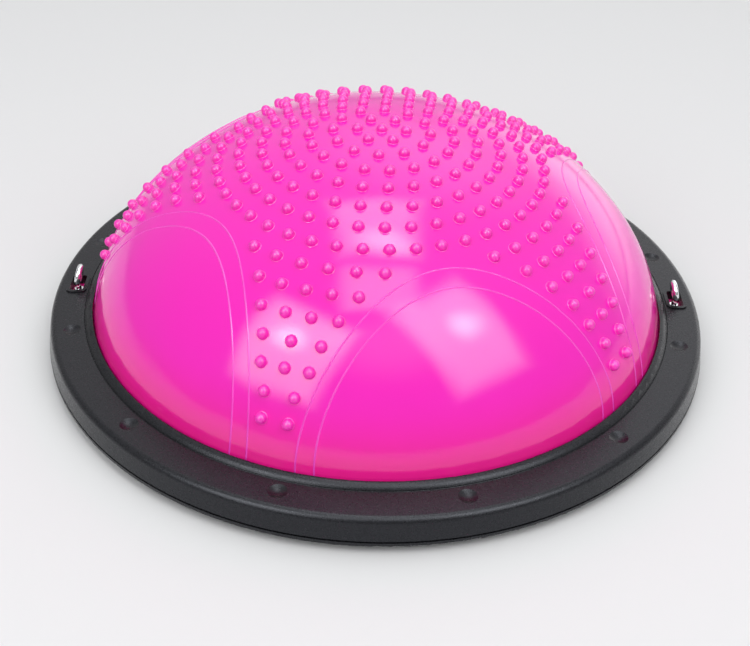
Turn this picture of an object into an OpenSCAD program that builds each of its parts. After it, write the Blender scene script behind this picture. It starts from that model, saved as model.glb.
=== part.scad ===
// Balance dome trainer: an inflated dome with massage nubs, clamped into a round base
// that carries an eye bolt on each side. Sizes are in millimetres.
// The origin is on the floor at the middle of the base, +Z is up, the eye bolts are on +X and -X.

/* [Dome] */
// Height of the dome's crown above the flat of the ring
dome_rise = 168.5; // [155:0.5:180]
// Radius of the dome where it leaves the ring's lip
dome_foot_r = 261.7; // [255:0.1:268]
// Radius of the arc over the crown
crown_r = 340; // [325:1:400]
// Angle from the crown at which the arc down the shoulder takes over
join_angle = 30.4; // [25:0.1:36]
// Thickness of the dome's wall
dome_wall = 3; // [2:0.1:4]
// Width of the weld flange outside the dome's wall
weld_w = 4.5; // [3:0.1:5]
// Thickness of the weld flange
weld_t = 2.5; // [1.5:0.1:3.5]
// Thickness of the floor sheet that closes the dome
sheet_t = 2; // [1.5:0.1:3]

/* [Nubs] */
// Diameter of a nub
nub_d = 10.5; // [8:0.1:12]
// Height of a nub above the dome
nub_h = 6; // [5:0.1:7]
// Distance from one ring of nubs to the next, along the dome
nub_pitch = 21; // [19:0.1:22]
// Nubs in each full ring, from the crown outwards
ring_counts = [6, 12, 19, 25, 31, 37, 43]; // each from 3 to 44
// Azimuth of the first nub in each of those rings
ring_starts = [117, 87, 87, 87, 87, 87, 89]; // each from 0 to 360
// Number of nub bands down the side, one between each two smooth petals
band_total = 5; // [4:1:5]
// Nubs in each row of a band, from the crown outwards
band_counts = [6, 5, 4, 3, 3, 2, 2]; // each from 1 to 6
// Angle between neighbours in each of those rows
band_steps = [7.9, 6.65, 6.2, 6.5, 5.05, 6, 5.05]; // each from 5 to 9

/* [Clamp ring] */
// Height of the lip above the flat
lip_h = 4.2; // [3:0.1:6]
// Width of the lip
lip_w = 6.9; // [5:0.1:9]
// Width of the flat, from the lip to the outer edge
flat_w = 31.1; // [30:0.1:40]
// Radius of the rounded outer edge
edge_r = 6; // [3:0.1:8]
// Angle that the outer wall leans out, from top to bottom
wall_draft = 9; // [0:0.5:12]
// Wall thickness of the ring
ring_wall = 3; // [2:0.1:3.5]
// Gap between the dome and the ring
dome_gap = 0.3; // [0.2:0.05:0.6]
// Diameter of the round groove at the foot of the lip
groove_d = 1.4; // [0.8:0.1:2]
// Height of the parting line between ring and base
parting_h = 1.5; // [0.5:0.1:2]
// Depth of the parting line
parting_d = 2; // [0.8:0.1:2.2]

/* [Dimples and screws] */
// Number of dimples, each with a screw below it
screw_count = 12; // [12:6:12]
// Distance from the outer edge to the circle of the dimples
screw_inset = 19.5; // [18.5:0.1:20.5]
// Diameter of a dimple
dimple_d = 15.5; // [10:0.1:16]
// Depth of a dimple
dimple_depth = 2.5; // [1.5:0.1:2.8]
// Diameter of a screw's shank
screw_d = 4; // [3:0.1:5]
// Length of a screw under its head
screw_len = 9; // [7:0.1:9.4]
// Diameter of a screw's head
screw_head_d = 8; // [6.5:0.1:9]
// Height of a screw's head
screw_head_h = 2.4; // [1.8:0.1:3]
// Width of the cross slot in a screw's head
slot_w = 1; // [0.8:0.1:1.4]
// Length of that slot
slot_len = 4.8; // [4:0.1:5.5]
// Diameter of the boss that a screw goes into
boss_d = 11; // [9:0.1:12]

/* [Eye bolts] */
// Height of an upright eye's top above the flat of the ring
eye_top = 20.4; // [20:0.1:24]
// Angle that an eye leans in towards the dome
eye_lean = 12; // [0:1:15]
// Outside diameter of an eye
eye_od = 22; // [18:0.1:22]
// Diameter of an eye's wire
eye_wire = 5.5; // [4:0.1:6]
// Diameter of an eye bolt's shank
eye_shank_d = 5; // [4:0.1:6]
// Width of a nut across its flats
nut_af = 8; // [7.5:0.1:9]
// Height of the nut under the base
nut_h = 4; // [3:0.1:5]
// Length of the shank below that nut
shank_proud = 1.5; // [1:0.1:3]
// Height of the nut at the foot of the eye
top_nut_h = 3.5; // [2.5:0.1:4.5]
// Diameter of a washer
washer_d = 10; // [9.5:0.1:11]
// Thickness of a washer
washer_t = 1; // [0.8:0.1:1.6]

/* [Eye pockets] */
// Width of a pocket, from the dome outwards
pocket_w = 12.8; // [12:0.1:14]
// Length of a pocket, along the ring
pocket_len = 24; // [20:0.1:30]
// Corner radius of a pocket
pocket_corner = 3; // [1:0.1:5]
// Width of the frame round a pocket
frame_w = 3.1; // [2:0.1:3.3]
// Height of that frame above the flat
frame_h = 1.3; // [0.5:0.1:2.5]
// Depth of the floor sheet in a pocket, below the flat
pocket_depth = 8.5; // [7.5:0.1:9.5]

/* [Lower base] */
// Height from the underside to the flat of the ring
base_h = 26; // [25:0.1:36]
// Height of the rim that shows below the parting line
rim_h = 4.5; // [4.5:0.1:8]
// Radius of the rim's rounded lower edge
under_r = 2; // [1:0.1:3]
// Thickness of the platform's plate
plate_t = 3.5; // [3:0.1:4.4]
// Thickness of a rib
rib_t = 2.5; // [2:0.1:4]
// Distance from one ring rib of the platform to the next
rib_pitch = 65; // [55:1:70]
// Number of grip grooves in the underside
grip_count = 9; // [5:1:9]
// Radius of the first grip groove
grip_first_r = 70; // [60:1:80]
// Distance from one grip groove to the next
grip_pitch = 20; // [15:0.5:20]
// Width of a grip groove
grip_w = 3; // [2:0.1:4]
// Depth of a grip groove
grip_depth = 1; // [0.5:0.1:1.5]
// Thickness of the material under a screw's or an eye bolt's hole
hole_seat_t = 3; // [2.5:0.1:4]
// Room round a screw's head or a washer in its recess
tool_gap = 1.5; // [1:0.1:2]
// Gap between parts that slip together
fit_gap = 0.3; // [0.2:0.05:0.5]
// Gap round a screw or an eye bolt in its hole
hole_gap = 0.1; // [0.05:0.05:0.3]

/* [Feet] */
// Number of rubber feet
foot_count = 8; // [6:2:8]
// Diameter of a foot
foot_d = 26; // [20:0.5:28]
// Height of a foot below the underside
foot_proud = 7; // [5:0.1:9]
// Bevel round the bottom of a foot
foot_bevel = 1; // [0.5:0.1:1.5]
// Depth of the recess that a foot sits in
foot_recess = 1.5; // [1:0.1:2]
// Diameter of a foot's stem
stem_d = 8; // [6:0.1:10]
// Diameter of the barb on the stem
barb_d = 11; // [10.5:0.1:13]
// Height of the barb
barb_h = 2.5; // [2:0.1:4]

/* [Valve] */
// Diameter of the valve's bore
valve_bore_d = 10; // [8:0.1:12]
// Outside diameter of the valve's tube
valve_od = 18; // [15:0.1:20]
// Diameter of the valve's weld flange
valve_flange_d = 46; // [36:1:56]
// Thickness of that flange
valve_flange_t = 2; // [1.5:0.1:3]
// Height of the valve's lower end above the underside
valve_recess = 3; // [3:0.1:5]
// Diameter of the plug's head
plug_head_d = 22; // [19:0.1:26]
// Thickness of the plug's head
plug_head_t = 2.5; // [2:0.1:3]
// Length of the plug's stem
plug_len = 11; // [8:0.1:13]
// Radial gap between the plug's stem and the bore
plug_gap = 0.08; // [0.02:0.01:0.1]
// Diameter of the two notches in the plug's head, for lifting it
notch_d = 4; // [3:0.1:5]

/* [Hidden] */
$fn = 96;
nub_facets = 24;
tiny = 0.01;
far = 2 * crown_r;

// Heights above the floor
under_z = foot_proud;
plate_z = under_z + plate_t;
parting_z = under_z + rim_h;
flat_z = under_z + base_h;
lip_z = flat_z + lip_h;
dome_top = flat_z + dome_rise;
clamp_z = flat_z - pocket_depth;
seat_z = clamp_z - sheet_t;
hole_seat_z = seat_z - hole_seat_t;
roof_z = flat_z - ring_wall;

// Radii of the base, from the dome outwards
lip_r = dome_foot_r + dome_gap;
lip_foot_r = lip_r + lip_w;
base_r = lip_foot_r + flat_w;
edge_end_r = base_r - edge_r + edge_r * cos(wall_draft);
edge_end_z = flat_z - edge_r + edge_r * sin(wall_draft);
rim_r = edge_end_r + (edge_end_z - parting_z) * tan(wall_draft);
skirt_r = base_r - ring_wall;
locate_r = skirt_r - fit_gap;
sheet_r = locate_r - rib_t - fit_gap;
seat_rib_r = sheet_r - rib_t;
screw_r = base_r - screw_inset;
lip_round_r = (pow(lip_w, 2) + pow(lip_h, 2)) / (2 * lip_h);

// The dome's outline is a crown arc and a shoulder arc that meet smoothly
crown_z = dome_top - crown_r;
foot_reach = norm([dome_foot_r, lip_z - crown_z]);
foot_along = dome_foot_r * sin(join_angle) + (lip_z - crown_z) * cos(join_angle);
arc_step = (pow(crown_r, 2) - pow(foot_reach, 2)) / (2 * (crown_r - foot_along));
shoulder_r = crown_r - arc_step;
join_arc = crown_r * join_angle * PI / 180;
shoulder_x = arc_step * sin(join_angle);
shoulder_z = crown_z + arc_step * cos(join_angle);
weld_r = shoulder_x + sqrt(pow(shoulder_r, 2) - pow(clamp_z - shoulder_z, 2)) + weld_w;

// Angles between bands, screws and feet round the middle
band_turn = 360 / band_total;
screw_turn = 360 / screw_count;
foot_turn = 360 / foot_count;

// Recesses under the base
screw_recess_d = screw_head_d + 2 * tool_gap;
eye_recess_d = washer_d + 2 * tool_gap;
eye_ring_r = (eye_od - eye_wire) / 2;
eye_foot_z = flat_z + eye_top - eye_od / 2 - eye_ring_r;
eye_end_z = hole_seat_z - washer_t - nut_h - shank_proud;

// The valve
valve_end_z = under_z + valve_recess;
access_d = plug_head_d + 2 * tool_gap;

SIDES = ["left", "right"];

pink = [0.97, 0.17, 0.70];
charcoal = [0.23, 0.23, 0.25];
rubber_black = [0.09, 0.09, 0.10];

// Lean of the dome's surface from level, at a distance along it from the crown
function lean_at(arc) =
    arc < join_arc
        ? arc / crown_r * 180 / PI
        : join_angle + (arc - join_arc) / shoulder_r * 180 / PI;

// Radius and height of a point that far along the dome and a little out of its surface
function dome_point(arc, out) =
    let (lean = lean_at(arc))
    arc < join_arc
        ? [(crown_r + out) * sin(lean), crown_z + (crown_r + out) * cos(lean)]
        : [shoulder_x + (shoulder_r + out) * sin(lean), shoulder_z + (shoulder_r + out) * cos(lean)];

// Half outline of the dome, thickened or thinned, down to a given height
module dome_outline(grow, bottom) {
    near_r = (bottom - crown_z) * tan(join_angle);
    far_r = (far - crown_z) * tan(join_angle);
    intersection() {
        translate([0, crown_z]) circle(r = crown_r + grow);
        polygon([[0, bottom], [near_r, bottom], [far_r, far], [0, far]]);
    }
    intersection() {
        translate([shoulder_x, shoulder_z]) circle(r = shoulder_r + grow);
        polygon([[near_r, bottom], [far, bottom], [far, far], [far_r, far]]);
    }
}

module dome_solid(grow, bottom) {
    rotate_extrude() dome_outline(grow, bottom);
}

module span(r_in, r_out, z_low, z_high) {
    translate([r_in, z_low]) square([r_out - r_in, z_high - z_low]);
}

// Copies on a circle about the middle
module around(count, r, first) {
    for (i = [0:count - 1]) rotate(first + i * 360 / count) translate([r, 0]) children();
}

module rounded_box(w, len, corner, h) {
    linear_extrude(h) {
        square([w - 2 * corner, len], center = true);
        square([w, len - 2 * corner], center = true);
        for (x = [-1, 1], y = [-1, 1])
            translate([x * (w / 2 - corner), y * (len / 2 - corner)]) circle(r = corner);
    }
}

module nub(arc, turn) {
    point = dome_point(arc, nub_h - nub_d / 2);
    rotate(turn) translate([point[0], 0, point[1]]) sphere(d = nub_d, $fn = nub_facets);
}

module nubs() {
    nub(0, 0);
    for (k = [1:len(ring_counts)], i = [1:ring_counts[k - 1]])
        nub(k * nub_pitch, ring_starts[k - 1] + i * 360 / ring_counts[k - 1]);
    for (b = [1:band_total], j = [1:len(band_counts)], i = [1:band_counts[j - 1]])
        nub((len(ring_counts) + j) * nub_pitch,
            (b - 0.5) * band_turn + (i - (band_counts[j - 1] + 1) / 2) * band_steps[j - 1]);
}

module dome() {
    color(pink) difference() {
        union() {
            dome_solid(0, clamp_z);
            nubs();
            translate([0, 0, clamp_z]) cylinder(r = weld_r, h = weld_t);
        }
        dome_solid(-dome_wall, clamp_z - tiny);
    }
}

module bladder_floor() {
    color(pink) translate([0, 0, seat_z]) difference() {
        cylinder(r = sheet_r, h = sheet_t);
        translate([0, 0, -tiny]) linear_extrude(sheet_t + 2 * tiny) {
            circle(d = valve_od + 2 * hole_gap);
            around(screw_count, screw_r, screw_turn / 2) circle(d = boss_d + 2 * fit_gap);
            around(2, screw_r, 0) circle(d = eye_shank_d + 2 * hole_gap);
        }
    }
}

// Half section of the clamp ring: lip, flat, outer skirt and the ribs that press on the dome
module ring_section() {
    difference() {
        union() {
            span(shoulder_x, base_r - edge_r, parting_z, flat_z);
            polygon([[shoulder_x, parting_z], [rim_r, parting_z], [edge_end_r, edge_end_z],
                [shoulder_x, edge_end_z]]);
            translate([base_r - edge_r, flat_z - edge_r]) circle(r = edge_r);
            translate([lip_r, lip_z - lip_round_r]) circle(r = lip_round_r);
        }
        span(0, lip_foot_r, -far, clamp_z + weld_t);
        span(lip_foot_r, skirt_r, -far, roof_z);
        span(rim_r - parting_d, far, -far, parting_z + parting_h);
        translate([shoulder_x, shoulder_z]) circle(r = shoulder_r + dome_gap);
        translate([lip_foot_r, flat_z]) circle(d = groove_d);
    }
    span(seat_rib_r, seat_rib_r + rib_t, clamp_z, roof_z + tiny);
}

module upper_ring() {
    dimple_r = (pow(dimple_d / 2, 2) + pow(dimple_depth, 2)) / (2 * dimple_depth);
    bore_end_z = hole_seat_z + screw_len + fit_gap;
    color(charcoal) difference() {
        union() {
            rotate_extrude() ring_section();
            around(screw_count, screw_r, screw_turn / 2)
                translate([0, 0, seat_z]) cylinder(d = boss_d, h = roof_z - seat_z + tiny);
            around(2, screw_r, 0) translate([0, 0, clamp_z])
                rounded_box(pocket_w + 2 * frame_w, pocket_len + 2 * frame_w,
                    pocket_corner + frame_w, flat_z + frame_h - clamp_z);
        }
        around(screw_count, screw_r, screw_turn / 2) {
            translate([0, 0, flat_z + dimple_r - dimple_depth]) sphere(r = dimple_r);
            translate([0, 0, seat_z - tiny])
                cylinder(d = screw_d + 2 * hole_gap, h = bore_end_z - seat_z + tiny);
        }
        around(2, screw_r, 0) translate([0, 0, clamp_z - tiny])
            rounded_box(pocket_w, pocket_len, pocket_corner, flat_z);
    }
}

// Half section of the lower base: plate, rim, and the ring ribs that carry the floor sheet
module base_section() {
    difference() {
        span(0, rim_r - under_r, under_z, plate_z);
        for (i = [0:grip_count - 1])
            translate([grip_first_r + i * grip_pitch, under_z])
                square([grip_w, 2 * grip_depth], center = true);
    }
    span(seat_rib_r, rim_r - under_r, under_z, parting_z);
    span(seat_rib_r, rim_r, under_z + under_r, parting_z);
    translate([rim_r - under_r, under_z + under_r]) circle(r = under_r);
    span(seat_rib_r, locate_r, under_z, seat_z);
    span(locate_r - rib_t, locate_r, under_z, clamp_z);
    span(lip_foot_r - 2 * rib_t, lip_foot_r, plate_z - tiny, seat_z);
    span(access_d / 2, access_d / 2 + rib_t, plate_z - tiny, seat_z);
    for (r = [rib_pitch:rib_pitch:lip_foot_r - rib_pitch])
        span(r - rib_t / 2, r + rib_t / 2, plate_z - tiny, seat_z);
}

module spokes() {
    around(screw_count, 0, screw_turn / 2)
        translate([rib_pitch, -rib_t / 2, plate_z - tiny])
            cube([seat_rib_r - rib_pitch + tiny, rib_t, seat_z - plate_z + tiny]);
}

// A recess from below, with a hole through what is left above it
module recessed_hole(recess_d, hole_d) {
    translate([0, 0, -tiny]) cylinder(d = recess_d, h = hole_seat_z + tiny);
    cylinder(d = hole_d, h = far);
}

module post(d) {
    translate([0, 0, under_z]) cylinder(d = d, h = seat_z - under_z);
}

module lower_base() {
    color(charcoal) difference() {
        union() {
            rotate_extrude() base_section();
            spokes();
            around(screw_count, screw_r, screw_turn / 2) post(screw_recess_d + 2 * rib_t);
            around(2, screw_r, 0) post(eye_recess_d + 2 * rib_t);
        }
        around(screw_count, screw_r, screw_turn / 2) recessed_hole(screw_recess_d, screw_d + 2 * hole_gap);
        around(2, screw_r, 0) recessed_hole(eye_recess_d, eye_shank_d + 2 * hole_gap);
        around(foot_count, screw_r, foot_turn / 2) {
            cylinder(d = foot_d + 2 * fit_gap, h = under_z + foot_recess);
            cylinder(d = stem_d + 2 * hole_gap, h = plate_z + tiny);
        }
        cylinder(d = access_d, h = far);
    }
}

module ring_screws() {
    color("silver") around(screw_count, screw_r, screw_turn / 2)
        translate([0, 0, hole_seat_z]) difference() {
            union() {
                translate([0, 0, -screw_head_h]) cylinder(d = screw_head_d, h = screw_head_h);
                cylinder(d = screw_d, h = screw_len);
            }
            translate([0, 0, -screw_head_h]) {
                cube([slot_len, slot_w, screw_head_h], center = true);
                cube([slot_w, slot_len, screw_head_h], center = true);
            }
        }
}

module on_side(side) {
    rotate(side == "left" ? 180 : 0) translate([screw_r, 0, 0]) children();
}

module eye(side) {
    color("gainsboro") on_side(side) {
        translate([0, 0, eye_foot_z]) rotate([0, 90 - eye_lean, 0]) translate([-eye_ring_r, 0, 0])
            rotate_extrude() translate([eye_ring_r, 0]) circle(d = eye_wire);
        translate([0, 0, eye_end_z]) cylinder(d = eye_shank_d, h = eye_foot_z - eye_end_z);
    }
}

module nut(h) {
    difference() {
        cylinder(d = nut_af / cos(30), h = h, $fn = 6);
        translate([0, 0, -tiny]) cylinder(d = eye_shank_d + 2 * hole_gap, h = h + 2 * tiny);
    }
}

module eye_top_nut(side) {
    color("gainsboro") on_side(side) translate([0, 0, clamp_z]) nut(top_nut_h);
}

module eye_washer(side) {
    color("silver") on_side(side) translate([0, 0, hole_seat_z - washer_t]) difference() {
        cylinder(d = washer_d, h = washer_t);
        translate([0, 0, -tiny]) cylinder(d = eye_shank_d + 2 * hole_gap, h = washer_t + 2 * tiny);
    }
}

module eye_nut(side) {
    color("silver") on_side(side) translate([0, 0, hole_seat_z - washer_t - nut_h]) nut(nut_h);
}

// A rubber foot with its stem and barb, pushed into the platform from below
module foot(i) {
    color(rubber_black) rotate((i - 0.5) * foot_turn) translate([screw_r, 0, 0]) {
        cylinder(d1 = foot_d - 2 * foot_bevel, d2 = foot_d, h = foot_bevel);
        translate([0, 0, foot_bevel]) cylinder(d = foot_d, h = under_z + foot_recess - foot_bevel);
        cylinder(d = stem_d, h = plate_z);
        translate([0, 0, plate_z]) cylinder(d1 = barb_d, d2 = stem_d, h = barb_h);
    }
}

module valve_body() {
    color(pink) difference() {
        union() {
            translate([0, 0, clamp_z]) cylinder(d = valve_flange_d, h = valve_flange_t);
            translate([0, 0, valve_end_z]) cylinder(d = valve_od, h = clamp_z - valve_end_z + tiny);
        }
        cylinder(d = valve_bore_d, h = far);
    }
}

module valve_plug() {
    color(rubber_black) {
        translate([0, 0, valve_end_z - plug_head_t]) difference() {
            cylinder(d = plug_head_d, h = plug_head_t);
            around(2, plug_head_d / 2, 0) translate([0, 0, -tiny])
                cylinder(d = notch_d, h = plug_head_t + 2 * tiny);
        }
        translate([0, 0, valve_end_z - tiny])
            cylinder(d = valve_bore_d - 2 * plug_gap, h = plug_len + tiny);
    }
}

upper_ring();
lower_base();
dome();
bladder_floor();
ring_screws();
valve_body();
valve_plug();
for (side = SIDES) {
    eye(side);
    eye_top_nut(side);
    eye_washer(side);
    eye_nut(side);
}
for (i = [1:foot_count]) foot(i);
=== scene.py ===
"""Looks of a balance dome trainer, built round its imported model.

The base, feet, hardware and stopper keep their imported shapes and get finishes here. The soft
pieces are modelled as meshes: the dome with its nubs and petal lines, and the floor sheet that
closes it. Lengths are in metres. Angles are in degrees, until math.radians turns them.
"""
import math

import bpy
from mathutils import Matrix, Vector


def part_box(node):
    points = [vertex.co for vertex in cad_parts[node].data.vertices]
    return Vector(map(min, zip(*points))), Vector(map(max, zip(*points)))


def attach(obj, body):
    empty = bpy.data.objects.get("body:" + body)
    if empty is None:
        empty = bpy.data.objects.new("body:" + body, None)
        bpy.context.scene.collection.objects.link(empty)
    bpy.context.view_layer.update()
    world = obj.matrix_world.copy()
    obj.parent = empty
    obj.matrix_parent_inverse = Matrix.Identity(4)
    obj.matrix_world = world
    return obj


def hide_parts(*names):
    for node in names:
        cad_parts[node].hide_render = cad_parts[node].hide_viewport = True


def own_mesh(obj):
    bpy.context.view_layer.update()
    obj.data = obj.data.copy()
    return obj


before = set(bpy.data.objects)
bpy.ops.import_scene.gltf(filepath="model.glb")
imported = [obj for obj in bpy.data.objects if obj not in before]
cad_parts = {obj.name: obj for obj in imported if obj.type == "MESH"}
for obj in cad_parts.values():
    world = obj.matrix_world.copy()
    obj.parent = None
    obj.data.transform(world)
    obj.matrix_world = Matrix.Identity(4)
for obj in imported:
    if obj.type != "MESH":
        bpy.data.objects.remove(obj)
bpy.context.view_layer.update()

# Dome: a crown arc and a shoulder arc that meet smoothly
CROWN_R = 0.340
JOIN = math.radians(30.4)
DOME_FOOT_R = 0.2617
DOME_WALL = 0.003
WELD_T = 0.0025
DOME_STEPS = 360
DOME_ROWS = 96
SINK = 0.0002

# Unevenness of the inflated skin: swells and finer ripples, whose waves run along mixes of x, y
# and z
SWELL_H = 0.0002
SWELL_LENGTH = 0.16
SWELL_WAVES = ((1.0, 0.4, 0.0), (0.0, 0.9, -0.6), (1.7, -1.2, 1.4))
SWELL_PHASE = 1.0
SWELL_THIRD = 0.5
RIPPLE_H = 0.00005
RIPPLE_SHARE = 0.31
RIPPLE_WAVES = ((1.0, 0.0, 0.0), (0.0, 1.0, -0.4), (0.6, -0.5, 0.8))
RIPPLE_BEND = 2.0
RIPPLE_BEND_SHARE = 0.7

# Just above the clamp: puckers, a finer set of them that comes and goes, and a tuck
PUCKER_H = 0.00011
PUCKER_COUNT = 43
PUCKER_REACH = 0.03
PUCKER_BEND = 2.0
PUCKER_FINE = 1.62
PUCKER_LEAN = 1.3
PUCKER_BEAT = 0.3
TUCK_D = 0.0017
TUCK_H = 0.032

# Nubs, in full rings over the crown and in rows down the bands between the petals
NUB_D = 0.0093
NUB_H = 0.006
NUB_FILLET = 0.0007
NUB_STEPS = 20
BALL_ROWS = 7
FILLET_ROWS = 3
NUB_PITCH = 0.021
RING_COUNTS = (6, 12, 19, 25, 31, 37, 43)
RING_STARTS = (117, 87, 87, 87, 87, 87, 89)
BAND_COUNTS = (6, 5, 4, 3, 3, 2, 2)
BAND_STEPS = (7.9, 6.65, 6.2, 6.5, 5.05, 6, 5.05)

# Petals: two raised lines each, with their half width, their height and the level of their foot
# from the ring's flat, as seen square on
PETALS = 5
PETAL_LINES = ((0.1375, 0.138, -0.0098), (0.1237, 0.1235, -0.0037))
PETAL_POWER = 1.94
LINE_W = 0.0018
LINE_H = 0.0006
LINE_STEPS = 150
LINE_SPANS = 8
LINE_FOOT_D = 0.002

# Floor sheet: its rounded edge, and its holes for the valve, the screw bosses and the eye bolts
SHEET_EDGE = 0.0004
SHEET_EDGE_STEPS = 2
SHEET_STEPS = 48
VALVE_HOLE_R = 0.0092
BOSS_HOLE_R = 0.0059
EYE_HOLE_R = 0.0027
SCREWS = 12
SCREW_START = 15

# Outer edge of the clamp ring: a rounding that runs into a leaning wall
RING_R = 0.300
EDGE_R = 0.006
WALL_DRAFT = math.radians(9)
WALL_FOOT_Z = 0.013
WALL_FOOT_GAP = 0.0002

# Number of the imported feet
FEET = 8

# Height of the ring's lip above its flat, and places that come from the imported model
LIP_H = 0.0042
LIP_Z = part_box("upper_ring")[1].z
FLAT_Z = LIP_Z - LIP_H
CLAMP_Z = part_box("dome")[0].z
WELD_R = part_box("dome")[1].x
CROWN_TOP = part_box("dome")[1].z - NUB_H

# Finishes: the part of a noise's range that its values fill, the tint of the skin's gloss, and
# the heights between which painted shade near the foot turns the skin from deep to plain pink
NOISE_LOW = 0.3
NOISE_HIGH = 0.7
PVC_TINT = (1.0, 0.97, 0.80, 1)
SHADE_FULL_Z = LIP_Z - 0.01
SHADE_GONE_Z = LIP_Z + 0.06

# Camera at the photograph's place, turned, pitched down and rolled as it was
CAMERA_AT = (-0.00615, -0.9481, 0.68695)
CAMERA_TURN = -0.318
CAMERA_PITCH = 36.07
CAMERA_ROLL = 1.729
LENS_MM = 58.75
SENSOR_MM = 36

# Floor: pale out to one distance from its middle, and greyer from another on
FLOOR_REACH = 30
FLOOR_MIDDLE = (0.35, 0.6, 0.0)
FLOOR_PALE = (0.755, 0.76, 0.77)
FLOOR_PALE_R = 1.395
FLOOR_GREY = (0.60, 0.604, 0.612)
FLOOR_GREY_R = 1.855

# Light from all round: its level, and a glow that is strongest in one direction
ROUND_LEVEL = 0.40
ROUND_GLOW = 0.50
GLOW_TOWARDS = (0.13, 0.63, 0.77)
GLOW_POWER = 2.0

# Lamps, and the cards that only gloss shows: the point that they face, and how far off they are
AIM = Vector((0, 0, 0.12))
LAMP_FAR = 3.0
CARD_FAR = 2.98
CORE_FAR = 2.96
LAMP_SOFT = 0.4
SHINE_SOFT = 0.5

# Azimuth from +Y towards +X, elevation, width, height, brightness as a lamp and as a card, and
# the card's lean towards its top
LAMPS = (("top", -2.4, 75.5, 1.62, 1.50, 1.5, 1.4, -0.4),
         ("front", 179.9, 79.1, 1.50, 1.28, 1.45, 1.4, 0.0),
         ("right", 132.0, 47.9, 2.05, 3.30, 2.15, 1.9, 0.5),
         ("left", -139.8, 40.3, 2.20, 2.80, 2.40, 2.2, 0.5))

# Azimuth, elevation, distance, width, height, brightness and softness of the oval cards
BACK_PANEL = (40, 4, CARD_FAR, 4.4, 2.8, 1.4, 0.9)
GLOWS = (("back_glow", 14.0, 41.6, CARD_FAR, 3.36, 3.41, 0.7, 0.9),
         ("front_glow", 172.7, 51.8, CARD_FAR, 3.01, 2.39, 0.8, 0.9),
         ("top_core", 13.9, 81.7, CORE_FAR, 1.45, 0.77, 4.5, 0.9),
         ("right_core", 127.4, 51.9, CORE_FAR, 0.97, 1.06, 7.0, 0.95),
         ("left_core", -135.5, 45.5, CORE_FAR, 0.89, 0.86, 9.0, 0.95))

# Place, facing, width, height, brightness and softness of the card that lies on the floor
FLOOR_GLOW = (Vector((0.95, 1.0, 0.004)), Vector((0, 0, 1)), 1.9, 1.9, 0.75, 0.7)

# The two arcs of the dome's outline
CROWN_Z = CROWN_TOP - CROWN_R
FOOT_REACH = math.hypot(DOME_FOOT_R, LIP_Z - CROWN_Z)
FOOT_ALONG = DOME_FOOT_R * math.sin(JOIN) + (LIP_Z - CROWN_Z) * math.cos(JOIN)
ARC_STEP = (CROWN_R**2 - FOOT_REACH**2) / (2 * (CROWN_R - FOOT_ALONG))
SHOULDER_R = CROWN_R - ARC_STEP
JOIN_ARC = CROWN_R * JOIN
SHOULDER_X = ARC_STEP * math.sin(JOIN)
SHOULDER_Z = CROWN_Z + ARC_STEP * math.cos(JOIN)
FOOT_LEAN = math.acos((CLAMP_Z - SHOULDER_Z) / SHOULDER_R)
FOOT_ARC = JOIN_ARC + (FOOT_LEAN - JOIN) * SHOULDER_R


def outline(arc, out=0.0):
    """Radius, height and lean from level at a distance along the dome from its crown."""
    if arc < JOIN_ARC:
        lean = arc / CROWN_R
        reach = CROWN_R + out
        return reach * math.sin(lean), CROWN_Z + reach * math.cos(lean), lean
    lean = JOIN + (arc - JOIN_ARC) / SHOULDER_R
    reach = SHOULDER_R + out
    return SHOULDER_X + reach * math.sin(lean), SHOULDER_Z + reach * math.cos(lean), lean


def along(axis, place):
    """How far a place lies along an axis."""
    return sum(share * length for share, length in zip(axis, place))


def wave(x, y, z):
    """Height of the skin above its smooth outline."""
    turns = [2 * math.pi * length / SWELL_LENGTH for length in (x, y, z)]
    first, second, third = (along(axis, turns) for axis in SWELL_WAVES)
    swell = math.sin(first) * math.sin(second + SWELL_PHASE) + SWELL_THIRD * math.sin(third)
    first, second, third = (along(axis, turns) / RIPPLE_SHARE for axis in RIPPLE_WAVES)
    first += RIPPLE_BEND * math.sin(RIPPLE_BEND_SHARE * turns[1])
    ripple = math.sin(first) * math.sin(second) + math.sin(third)
    round_axis = PUCKER_COUNT * math.atan2(y, x)
    pucker = math.sin(round_axis + PUCKER_BEND * math.sin(turns[2]))
    fine = math.sin(PUCKER_FINE * round_axis + PUCKER_LEAN * turns[1])
    pucker += fine * math.sin(PUCKER_BEAT * round_axis)
    rise = max(0.0, z - LIP_Z)
    near = math.exp(-rise / PUCKER_REACH)
    tuck = max(0.0, 1 - rise / TUCK_H) ** 2
    free = (SWELL_H * swell + RIPPLE_H * ripple) * (1 - near)
    return free + PUCKER_H * near * pucker - TUCK_D * tuck


def on_dome(arc, azimuth, out=0.0):
    """Point on the dome's skin, or a little out of it, with its normal."""
    r, z, lean = outline(arc)
    cos, sin = math.cos(azimuth), math.sin(azimuth)
    normal = Vector((math.sin(lean) * cos, math.sin(lean) * sin, math.cos(lean)))
    point = Vector((r * cos, r * sin, z))
    return point + normal * (out + wave(*point)), normal


def radius_at(z):
    """Radius of the dome's skin at a height."""
    if z > CROWN_Z + CROWN_R * math.cos(JOIN):
        return math.sqrt(CROWN_R**2 - (z - CROWN_Z) ** 2)
    return SHOULDER_X + math.sqrt(SHOULDER_R**2 - (z - SHOULDER_Z) ** 2)


def make_piece(name, verts, faces, material, body):
    """A smooth-shaded mesh in the scene, riding a body."""
    mesh = bpy.data.meshes.new(name)
    mesh.from_pydata(verts, [], faces)
    mesh.polygons.foreach_set("use_smooth", [True] * len(mesh.polygons))
    mesh.materials.append(material)
    mesh.update()
    piece = bpy.data.objects.new(name, mesh)
    bpy.context.scene.collection.objects.link(piece)
    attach(piece, body)
    return piece


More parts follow.
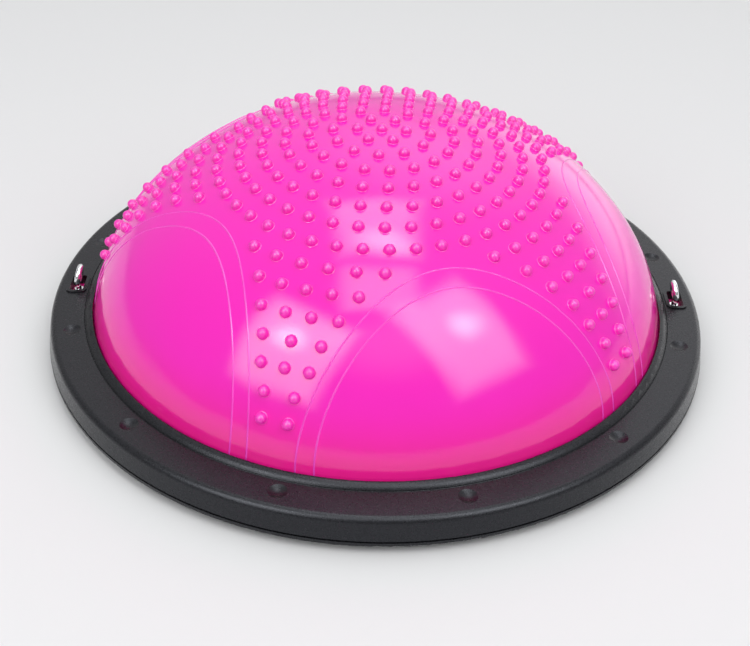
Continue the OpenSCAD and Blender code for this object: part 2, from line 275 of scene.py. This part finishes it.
def strip(first, second, faces):
    """Quads between two closed loops of vertex numbers."""
    for i in range(len(first)):
        j = (i + 1) % len(first)
        faces.append((first[i], second[i], second[j], first[j]))


def loops_between(verts, faces, rows):
    """Adds closed loops of points, joined in order, and gives their vertex numbers."""
    numbers = []
    for row in rows:
        numbers.append(list(range(len(verts), len(verts) + len(row))))
        verts.extend(row)
    for upper, lower in zip(numbers, numbers[1:]):
        strip(upper, lower, faces)
    return numbers


def cap(verts, faces, loop, centre, outward):
    """A fan of triangles that closes a loop at its pole."""
    pole = len(verts)
    verts.append(centre)
    for i in range(len(loop)):
        j = (i + 1) % len(loop)
        faces.append((pole, loop[i], loop[j]) if outward else (pole, loop[j], loop[i]))


def dome_skin(material):
    """The moulded cap: outer skin, weld flange and inner skin."""
    verts, faces = [], []
    angles = [2 * math.pi * i / DOME_STEPS for i in range(DOME_STEPS)]
    arcs = [FOOT_ARC * (k + 1) / DOME_ROWS for k in range(DOME_ROWS)]
    flange_arc = FOOT_ARC - WELD_T
    rows = [[on_dome(arc, a)[0] for a in angles] for arc in arcs if arc < flange_arc]
    inner_foot = outline(FOOT_ARC, -DOME_WALL)[0]
    for r, z in ((outline(flange_arc)[0], CLAMP_Z + WELD_T), (WELD_R, CLAMP_Z + WELD_T),
                 (WELD_R, CLAMP_Z), (inner_foot, CLAMP_Z)):
        rows.append([Vector((r * math.cos(a), r * math.sin(a), z)) for a in angles])
    rows += [[on_dome(arc, a, -DOME_WALL)[0] for a in angles] for arc in reversed(arcs[:-1])]
    numbers = loops_between(verts, faces, rows)
    cap(verts, faces, numbers[0], on_dome(0, 0)[0], True)
    cap(verts, faces, numbers[-1], on_dome(0, 0, -DOME_WALL)[0], False)
    piece = make_piece("dome_skin", verts, faces, material, "dome_cap")
    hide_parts("dome")
    return piece


def nub_profile():
    """Radius and height of a nub: down its ball, then a fillet that runs out into the skin."""
    ball = NUB_D / 2
    ball_z = NUB_H - ball
    fillet_r = math.sqrt((ball + NUB_FILLET) ** 2 - (NUB_FILLET - ball_z) ** 2)
    meet = math.atan2(fillet_r, NUB_FILLET - ball_z)
    points = []
    for k in range(1, BALL_ROWS + 1):
        turn = meet * k / BALL_ROWS
        points.append((ball * math.sin(turn), ball_z + ball * math.cos(turn)))
    for k in range(1, FILLET_ROWS + 1):
        turn = meet + (math.pi - meet) * k / FILLET_ROWS
        rise = NUB_FILLET + NUB_FILLET * math.cos(turn)
        points.append((fillet_r - NUB_FILLET * math.sin(turn), rise))
    points.append((fillet_r + NUB_FILLET / 2, -SINK))
    return points


def nub_places():
    """Distance from the crown and azimuth of every nub."""
    places = [(0.0, 0.0)]
    for k, (count, start) in enumerate(zip(RING_COUNTS, RING_STARTS), 1):
        places += [(k * NUB_PITCH, start + i * 360 / count) for i in range(count)]
    for band in range(PETALS):
        middle = (band + 0.5) * 360 / PETALS
        for j, (count, step) in enumerate(zip(BAND_COUNTS, BAND_STEPS), len(RING_COUNTS) + 1):
            first = middle - (count - 1) / 2 * step
            places += [(j * NUB_PITCH, first + i * step) for i in range(count)]
    return places


def dome_nubs(material):
    """Every massage nub, standing square on the skin with a fillet round its foot."""
    verts, faces = [], []
    profile = nub_profile()
    angles = [2 * math.pi * i / NUB_STEPS for i in range(NUB_STEPS)]
    for arc, azimuth in nub_places():
        foot, normal = on_dome(arc, math.radians(azimuth))
        side = normal.orthogonal().normalized()
        other = normal.cross(side)
        bend = CROWN_R if arc < JOIN_ARC else SHOULDER_R
        rows = []
        for r, h in profile:
            rise = normal * (h - r * r / (2 * bend))
            rows.append([foot + rise + (side * math.cos(a) + other * math.sin(a)) * r
                         for a in angles])
        numbers = loops_between(verts, faces, rows)
        cap(verts, faces, numbers[0], foot + normal * NUB_H, True)
        faces.append(list(reversed(numbers[-1])))
    return make_piece("dome_nubs", verts, faces, material, "dome_cap")


def petal_path(half_width, height, foot):
    """Points of one petal line on the skin, from a foot under the lip over to the other foot."""
    points = []
    low_z = LIP_Z - LINE_FOOT_D
    lift = (low_z - FLAT_Z - foot) / height
    first = math.asin(max(0.0, lift) ** (PETAL_POWER / 2))
    for i in range(LINE_STEPS + 1):
        turn = first + (math.pi - 2 * first) * i / LINE_STEPS
        share = 2 / PETAL_POWER
        z = FLAT_Z + foot + height * math.sin(turn) ** share
        y = half_width * math.copysign(abs(math.cos(turn)) ** share, math.cos(turn))
        points.append(Vector((math.sqrt(radius_at(z) ** 2 - y * y), y, z)))
    return points


def dome_lines(material):
    """The raised double line round each petal."""
    verts, faces = [], []
    spread = [LINE_W * (0.5 - k / LINE_SPANS) for k in range(LINE_SPANS + 1)]
    profile = [(w, LINE_H * math.cos(math.pi * w / LINE_W) ** 2 - SINK / 4) for w in spread]
    profile += [(-LINE_W / 2, -SINK), (LINE_W / 2, -SINK)]
    for petal in range(PETALS):
        turn = Matrix.Rotation(2 * math.pi * petal / PETALS, 3, "Z")
        for line in PETAL_LINES:
            path = [turn @ point for point in petal_path(*line)]
            rows = []
            for i, point in enumerate(path):
                ahead = path[min(i + 1, LINE_STEPS)] - path[max(i - 1, 0)]
                r = math.hypot(point.x, point.y)
                on_crown = r < CROWN_R * math.sin(JOIN)
                centre_r, centre_z = (0, CROWN_Z) if on_crown else (SHOULDER_X, SHOULDER_Z)
                outward = 1 - centre_r / r
                normal = Vector((point.x * outward, point.y * outward, point.z - centre_z))
                normal.normalize()
                across = ahead.cross(normal).normalized()
                seat = point + normal * wave(*point)
                rows.append([seat + across * w + normal * h for w, h in profile])
            numbers = loops_between(verts, faces, rows)
            faces.append(numbers[0])
            faces.append(list(reversed(numbers[-1])))
    return make_piece("dome_petal_lines", verts, faces, material, "dome_cap")


def add_circle(curve, x, y, r):
    """A round spline of four Bezier arcs."""
    handle = r * 4 / 3 * (math.sqrt(2) - 1)
    spline = curve.splines.new("BEZIER")
    spline.bezier_points.add(3)
    spline.use_cyclic_u = True
    for i, point in enumerate(spline.bezier_points):
        out = Vector((math.cos(i * math.pi / 2), math.sin(i * math.pi / 2), 0))
        tangent = Vector((-out.y, out.x, 0))
        point.co = Vector((x, y, 0)) + out * r
        point.handle_left = point.co - tangent * handle
        point.handle_right = point.co + tangent * handle


def floor_sheet(material):
    """The sheet that closes the dome, with its holes."""
    lo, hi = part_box("bladder_floor")
    eye_lo, eye_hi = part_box("eye_nut_right")
    circle_r = (eye_lo.x + eye_hi.x) / 2
    curve = bpy.data.curves.new("floor_sheet_outline", "CURVE")
    curve.dimensions = "2D"
    curve.fill_mode = "BOTH"
    curve.resolution_u = SHEET_STEPS
    curve.extrude = (hi.z - lo.z) / 2 - SHEET_EDGE
    curve.bevel_depth = SHEET_EDGE
    curve.bevel_resolution = SHEET_EDGE_STEPS
    add_circle(curve, 0, 0, hi.x - SHEET_EDGE)
    add_circle(curve, 0, 0, VALVE_HOLE_R + SHEET_EDGE)
    for i in range(SCREWS):
        a = math.radians(SCREW_START + 360 / SCREWS * i)
        x, y = circle_r * math.cos(a), circle_r * math.sin(a)
        add_circle(curve, x, y, BOSS_HOLE_R + SHEET_EDGE)
    for side in (-1, 1):
        add_circle(curve, side * circle_r, 0, EYE_HOLE_R + SHEET_EDGE)
    flat = bpy.data.objects.new("floor_sheet_outline", curve)
    mesh = bpy.data.meshes.new_from_object(flat)
    bpy.data.objects.remove(flat)
    mesh.name = "floor_sheet"
    mesh.transform(Matrix.Translation((0, 0, (lo.z + hi.z) / 2)))
    mesh.materials.clear()
    mesh.materials.append(material)
    piece = bpy.data.objects.new("floor_sheet", mesh)
    bpy.context.scene.collection.objects.link(piece)
    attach(piece, "base")
    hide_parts("bladder_floor")


def new_material(name, color, roughness, **settings):
    """A Principled material with plain settings, which texture nodes then vary."""
    material = bpy.data.materials.new(name)
    material.use_nodes = True
    shader = material.node_tree.nodes["Principled BSDF"]
    shader.inputs["Base Color"].default_value = (*color, 1)
    shader.inputs["Roughness"].default_value = roughness
    for key, value in settings.items():
        shader.inputs[key.replace("_", " ")].default_value = value
    return material, shader


def tree(owner):
    """Nodes and links of a material, a lamp or the world."""
    return owner.node_tree.nodes, owner.node_tree.links


def noise(material, scale, detail):
    """Noise over the object's own coordinates."""
    nodes, links = tree(material)
    where = nodes.new("ShaderNodeTexCoord")
    texture = nodes.new("ShaderNodeTexNoise")
    texture.inputs["Scale"].default_value = scale
    texture.inputs["Detail"].default_value = detail
    links.new(where.outputs["Object"], texture.inputs["Vector"])
    return texture.outputs["Fac"]


def vary_color(material, shader, source, dark, light):
    """Lets a source blend the colour between two."""
    nodes, links = tree(material)
    ramp = nodes.new("ShaderNodeValToRGB")
    low, high = ramp.color_ramp.elements
    low.position, high.position = NOISE_LOW, NOISE_HIGH
    low.color, high.color = (*dark, 1), (*light, 1)
    links.new(source, ramp.inputs["Fac"])
    links.new(ramp.outputs["Color"], shader.inputs["Base Color"])


def map_range(owner, source, from_range, to_range=(0.0, 1.0), smooth=False):
    """A source's range stretched to another range and clamped to it."""
    nodes, links = tree(owner)
    node = nodes.new("ShaderNodeMapRange")
    if smooth:
        node.interpolation_type = "SMOOTHSTEP"
    node.inputs["From Min"].default_value, node.inputs["From Max"].default_value = from_range
    node.inputs["To Min"].default_value, node.inputs["To Max"].default_value = to_range
    links.new(source, node.inputs["Value"])
    return node.outputs["Result"]


def vary_roughness(material, shader, source, low, high):
    """Lets a noise vary the roughness between two values."""
    spread = map_range(material, source, (NOISE_LOW, NOISE_HIGH), (low, high))
    material.node_tree.links.new(spread, shader.inputs["Roughness"])


def add_bump(material, shader, source, height, normal=None):
    """Raises a source as fine relief on the normal given, or on the mesh's own."""
    nodes, links = tree(material)
    bump = nodes.new("ShaderNodeBump")
    bump.inputs["Strength"].default_value = 1.0
    bump.inputs["Distance"].default_value = height
    links.new(source, bump.inputs["Height"])
    if normal:
        links.new(normal, bump.inputs["Normal"])
    links.new(bump.outputs["Normal"], shader.inputs["Normal"])


def maths(owner, kind, operation, values, out):
    """Output of a maths node, whose inputs are plain values or other nodes' outputs."""
    nodes, links = tree(owner)
    node = nodes.new(kind)
    node.operation = operation
    for socket, value in zip(node.inputs, values):
        if isinstance(value, bpy.types.NodeSocket):
            links.new(value, socket)
        else:
            socket.default_value = value
    return node.outputs[out]


def math_node(owner, operation, *values):
    """A maths node on numbers."""
    return maths(owner, "ShaderNodeMath", operation, values, "Value")


def vector_node(owner, operation, *values, out="Vector"):
    """A maths node on vectors."""
    return maths(owner, "ShaderNodeVectorMath", operation, values, out)


def edge_normal(material):
    """The smooth normal of the ring's rounded edge and wall, and the mesh's own elsewhere."""
    nodes, links = tree(material)
    place = nodes.new("ShaderNodeTexCoord").outputs["Object"]
    split = nodes.new("ShaderNodeSeparateXYZ")
    links.new(place, split.inputs["Vector"])
    level = vector_node(material, "MULTIPLY", place, (1.0, 1.0, 0.0))
    radius = vector_node(material, "LENGTH", level, out="Value")
    outward = vector_node(material, "NORMALIZE", level)
    reach = math_node(material, "SUBTRACT", radius, RING_R - EDGE_R)
    reach = math_node(material, "MAXIMUM", reach, 0.0)
    reach = math_node(material, "MINIMUM", reach, EDGE_R * math.cos(WALL_DRAFT))
    rise = math_node(material, "SUBTRACT", split.outputs["Z"], FLAT_Z - EDGE_R)
    rise = math_node(material, "MAXIMUM", rise, EDGE_R * math.sin(WALL_DRAFT))
    join = nodes.new("ShaderNodeCombineXYZ")
    links.new(rise, join.inputs["Z"])
    scaled = vector_node(material, "MULTIPLY", outward, reach)
    smooth = vector_node(material, "ADD", scaled, join.outputs["Vector"])
    smooth = vector_node(material, "NORMALIZE", smooth)
    outside = math_node(material, "GREATER_THAN", radius, RING_R - EDGE_R)
    above = math_node(material, "GREATER_THAN", split.outputs["Z"], WALL_FOOT_Z + WALL_FOOT_GAP)
    mix = nodes.new("ShaderNodeMix")
    mix.data_type = "VECTOR"
    links.new(math_node(material, "MULTIPLY", outside, above), mix.inputs["Factor"])
    vectors = [s for s in mix.inputs if s.type == "VECTOR"]
    links.new(nodes.new("ShaderNodeNewGeometry").outputs["Normal"], vectors[-2])
    links.new(smooth, vectors[-1])
    return next(s for s in mix.outputs if s.type == "VECTOR")


def paint_shade_low(material, shader, low_z, high_z, deep):
    """Paints shade below a height: turns the colour to a deeper, redder one there."""
    nodes, links = tree(material)
    split = nodes.new("ShaderNodeSeparateXYZ")
    links.new(nodes.new("ShaderNodeTexCoord").outputs["Object"], split.inputs["Vector"])
    rise = map_range(material, split.outputs["Z"], (low_z, high_z), smooth=True)
    mix = nodes.new("ShaderNodeMixRGB")
    mix.inputs["Color1"].default_value = (*deep, 1)
    links.new(rise, mix.inputs["Fac"])
    links.new(shader.inputs["Base Color"].links[0].from_socket, mix.inputs["Color2"])
    links.new(mix.outputs["Color"], shader.inputs["Base Color"])


def pink_pvc():
    """The glossy skin, with painted shade near its foot: a deeper, redder pink."""
    material, shader = new_material(
        "pink_pvc", (0.92, 0.011, 0.51), 0.10, Specular_IOR_Level=0.65, Specular_Tint=PVC_TINT,
        Subsurface_Weight=0.05, Subsurface_Scale=0.004, Subsurface_Radius=(1.0, 0.25, 0.6))
    mottle = noise(material, scale=9, detail=3)
    vary_color(material, shader, mottle, (0.91, 0.010, 0.50), (0.93, 0.012, 0.52))
    # Painted shade: towards the foot, where the dark ring shades the skin, the pink turns deeper
    # and redder
    paint_shade_low(material, shader, SHADE_FULL_Z, SHADE_GONE_Z, (0.98, 0.012, 0.29))
    vary_roughness(material, shader, noise(material, scale=26, detail=4), 0.08, 0.12)
    add_bump(material, shader, noise(material, scale=900, detail=2), 0.00001)
    return material


def nub_pvc():
    """The same skin on the nubs: less glossy, and painted a little paler to lift the shade on
    them.
    """
    material, shader = new_material("nub_pvc", (0.95, 0.016, 0.51), 0.33,
                                    Specular_IOR_Level=1.0, Specular_Tint=PVC_TINT)
    mottle = noise(material, scale=60, detail=3)
    # Painted light: the nubs' pink is a little paler than the skin's, standing in for the light
    # they catch
    vary_color(material, shader, mottle, (0.94, 0.014, 0.49), (0.96, 0.018, 0.53))
    vary_roughness(material, shader, noise(material, scale=90, detail=3), 0.29, 0.37)
    return material


def painted_highlight_pvc():
    """The skin of the raised lines, painted paler as a highlight along them."""
    # Painted highlight: the lines' pink is paler than the skin's, standing in for the light they
    # catch
    material, shader = new_material("painted_highlight_pvc", (0.95, 0.07, 0.60), 0.10)
    mottle = noise(material, scale=40, detail=3)
    vary_color(material, shader, mottle, (0.94, 0.06, 0.58), (0.96, 0.08, 0.62))
    return material


def charcoal_plastic():
    """Moulded plastic with a fine grain of lighter and darker specks."""
    material, shader = new_material(
        "charcoal_plastic", (0.011, 0.011, 0.013), 0.25, Specular_IOR_Level=0.34,
        Specular_Tint=(0.92, 0.96, 1.06, 1), Sheen_Weight=0.22, Sheen_Roughness=0.25)
    specks = noise(material, scale=900, detail=3)
    vary_color(material, shader, specks, (0.003, 0.003, 0.004), (0.014, 0.014, 0.0165))
    vary_roughness(material, shader, noise(material, scale=420, detail=4), 0.24, 0.34)
    grain = noise(material, scale=1100, detail=3)
    add_bump(material, shader, grain, 0.00016, edge_normal(material))
    return material


def chrome():
    """Bright plating of the eye bolts and the nuts at their feet."""
    material, shader = new_material("chrome", (0.80, 0.81, 0.83), 0.06, Metallic=1.0)
    vary_roughness(material, shader, noise(material, scale=300, detail=3), 0.04, 0.10)
    return material


def zinc_plate():
    """Dull plating of the hidden hardware."""
    material, shader = new_material("zinc_plate", (0.58, 0.58, 0.60), 0.32, Metallic=1.0)
    mottle = noise(material, scale=260, detail=3)
    vary_color(material, shader, mottle, (0.52, 0.52, 0.54), (0.64, 0.64, 0.66))
    vary_roughness(material, shader, noise(material, scale=500, detail=3), 0.26, 0.40)
    return material


def black_rubber():
    """Matte rubber of the feet and the stopper."""
    material, shader = new_material("black_rubber", (0.015, 0.015, 0.016), 0.75)
    mottle = noise(material, scale=200, detail=4)
    vary_color(material, shader, mottle, (0.012, 0.012, 0.013), (0.020, 0.020, 0.021))
    add_bump(material, shader, noise(material, scale=2200, detail=2), 0.00005)
    return material


def dress(material, *nodes):
    """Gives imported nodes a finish."""
    for name in nodes:
        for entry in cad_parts[name].material_slots:
            entry.material = material


def floor():
    """A wide floor, pale round the object and greyer far off."""
    material, shader = new_material("pale_floor", FLOOR_PALE, 0.8, Specular_IOR_Level=0.2)
    place = material.node_tree.nodes.new("ShaderNodeTexCoord").outputs["Object"]
    far = vector_node(material, "DISTANCE", place, FLOOR_MIDDLE, out="Value")
    share = map_range(material, far, (FLOOR_PALE_R, FLOOR_GREY_R), (NOISE_LOW, NOISE_HIGH))
    vary_color(material, shader, share, FLOOR_PALE, FLOOR_GREY)
    corners = ((-1, -1), (1, -1), (1, 1), (-1, 1))
    verts = [(x * FLOOR_REACH, y * FLOOR_REACH, 0) for x, y in corners]
    mesh = bpy.data.meshes.new("floor")
    mesh.from_pydata(verts, [], [(0, 1, 2, 3)])
    mesh.materials.append(material)
    piece = bpy.data.objects.new("floor", mesh)
    bpy.context.scene.collection.objects.link(piece)


def fade(light, soft, lean, oval):
    """Makes a lamp's light die away towards its edges, and lean towards its top."""
    light.use_nodes = True
    nodes, links = tree(light)
    split = nodes.new("ShaderNodeSeparateXYZ")
    place = nodes.new("ShaderNodeNewGeometry").outputs["Parametric"]
    links.new(place, split.inputs["Vector"])
    across = math_node(light, "SUBTRACT", split.outputs["X"], 0.5)
    upward = math_node(light, "SUBTRACT", split.outputs["Y"], 0.5)
    far = math_node(light, "MULTIPLY", math_node(light, "ABSOLUTE", across), 2.0)
    high = math_node(light, "MULTIPLY", math_node(light, "ABSOLUTE", upward), 2.0)
    if oval:
        squares = [math_node(light, "MULTIPLY", part, part) for part in (far, high)]
        reach = math_node(light, "SQRT", math_node(light, "ADD", *squares))
    else:
        reach = math_node(light, "MAXIMUM", far, high)
    edge = map_range(light, reach, (1.0, 1.0 - soft), smooth=True)
    slope = math_node(light, "ADD", math_node(light, "MULTIPLY", upward, 2.0 * lean), 1.0)
    strength = math_node(light, "MULTIPLY", edge, slope)
    links.new(strength, nodes["Emission"].inputs["Strength"])


def panel(name, at, facing, width, height, brightness, soft, lean=0.0, oval=False, lights=False):
    """A lamp that dies away at its edges, or a card that only gloss shows."""
    light = bpy.data.lights.new(name, "AREA")
    light.shape = "RECTANGLE"
    light.size = width
    light.size_y = height
    light.energy = brightness * math.pi * width * height
    fade(light, soft, lean, oval)
    lamp = bpy.data.objects.new(name, light)
    turn = facing.to_track_quat("-Z", "Y").to_matrix().to_4x4()
    lamp.matrix_world = Matrix.Translation(at) @ turn
    lamp.visible_camera = False
    lamp.visible_diffuse = lights
    bpy.context.scene.collection.objects.link(lamp)


def softbox(name, azimuth, elevation, distance, *sizes, **style):
    """A panel that faces the dome."""
    a, e = math.radians(azimuth), math.radians(elevation)
    towards = Vector((math.sin(a) * math.cos(e), math.cos(a) * math.cos(e), math.sin(e)))
    panel(name, AIM + towards * distance, -towards, *sizes, **style)


def studio():
    """Soft light from all round, and the lamps that show in the dome's gloss."""
    world = bpy.data.worlds.new("studio")
    world.use_nodes = True
    nodes, links = tree(world)
    place = nodes.new("ShaderNodeTexCoord").outputs["Generated"]
    glow = vector_node(world, "DOT_PRODUCT", place, GLOW_TOWARDS, out="Value")
    glow = math_node(world, "POWER", math_node(world, "MAXIMUM", glow, 0.0), GLOW_POWER)
    strength = math_node(world, "MULTIPLY", glow, ROUND_GLOW)
    strength = math_node(world, "ADD", strength, ROUND_LEVEL)
    links.new(strength, nodes["Background"].inputs["Strength"])
    nodes["Background"].inputs["Color"].default_value = (1.0, 1.0, 1.0, 1)
    bpy.context.scene.world = world
    for name, azimuth, elevation, width, height, light, shine, lean in LAMPS:
        softbox(f"{name}_softbox", azimuth, elevation, LAMP_FAR, width, height, light, LAMP_SOFT,
                lights=True)
        softbox(f"{name}_shine", azimuth, elevation, CARD_FAR, width, height, shine, SHINE_SOFT,
                lean=lean)
    softbox("back_panel", *BACK_PANEL, oval=True)
    panel("floor_glow", *FLOOR_GLOW, oval=True)
    for card in GLOWS:
        softbox(*card, oval=True)


def camera():
    """The photograph's camera."""
    data = bpy.data.cameras.new("camera")
    data.lens = LENS_MM
    data.sensor_width = SENSOR_MM
    view = bpy.data.objects.new("camera", data)
    turn = Matrix.Rotation(math.radians(CAMERA_TURN), 4, "Z")
    pitch = Matrix.Rotation(math.radians(90 - CAMERA_PITCH), 4, "X")
    roll = Matrix.Rotation(math.radians(CAMERA_ROLL), 4, "Z")
    view.matrix_world = Matrix.Translation(CAMERA_AT) @ turn @ pitch @ roll
    bpy.context.scene.collection.objects.link(view)
    bpy.context.scene.camera = view


bpy.context.scene.view_settings.view_transform = "Standard"
camera()
floor()
studio()

pvc = pink_pvc()
steel = zinc_plate()
bright = chrome()
rubber = black_rubber()
dress(charcoal_plastic(), "upper_ring", "lower_base")
dress(pvc, "valve_body")
dress(rubber, "valve_plug", *[f"foot_{i}" for i in range(1, FEET + 1)])
dress(steel, "ring_screws")
for side in ("left", "right"):
    dress(bright, f"eye_{side}", f"eye_top_nut_{side}")
    dress(steel, f"eye_washer_{side}", f"eye_nut_{side}")

floor_sheet(pvc)
for piece in (dome_skin(pvc), dome_nubs(nub_pvc()), dome_lines(painted_highlight_pvc())):
    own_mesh(piece)
